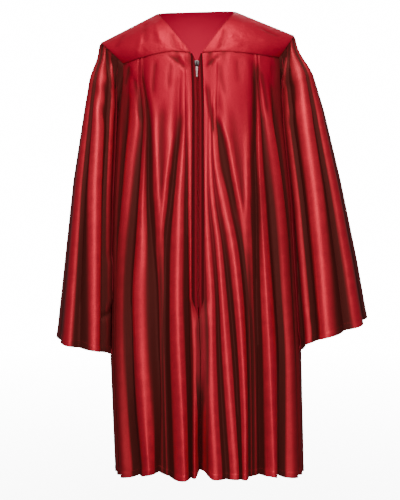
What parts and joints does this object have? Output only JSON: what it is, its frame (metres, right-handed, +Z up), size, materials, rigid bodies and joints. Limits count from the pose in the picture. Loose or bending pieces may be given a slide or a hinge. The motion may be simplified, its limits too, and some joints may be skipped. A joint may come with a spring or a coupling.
{
  "type": "graduation gown",
  "caption": "Child's satin graduation gown, filled out as worn: pleated fronts and back on smooth yokes, bell sleeves, V neck and front zip with a swinging pull tab.",
  "frame": {"origin": "middle of the neck's base, level with the shoulder seams at the neck, where the wearer's shoulders hold the gown", "axes": "+Z up, the front faces -Y, +X towards the wearer's left"},
  "size_m": [0.5819, 0.2376, 0.8623],
  "materials": {
    "red_satin": "glossy satin",
    "red_tape": "matt woven tape and nylon coil",
    "dark_steel": "polished"
  },
  "bodies": {
    "gown": {"yoke_front_right": "red_satin", "yoke_front_left": "red_satin", "yoke_back": "red_satin", "front_right": "red_satin", "front_left": "red_satin", "back": "red_satin", "sleeve_right": "red_satin", "sleeve_left": "red_satin", "zip_tape_right": "red_tape", "zip_tape_left": "red_tape", "zip_chain": "red_tape", "zip_slider": "dark_steel"},
    "pull_tab": {"zip_pull": "dark_steel"}
  },
  "joints": [
    {"name": "pull_swing", "type": "hinge", "parent": "gown", "child": "pull_tab", "pos_m": [-0.00108, -0.08562, -0.084], "axis": [-1, 0, 0], "range_deg": [0, 170]}
  ]
}
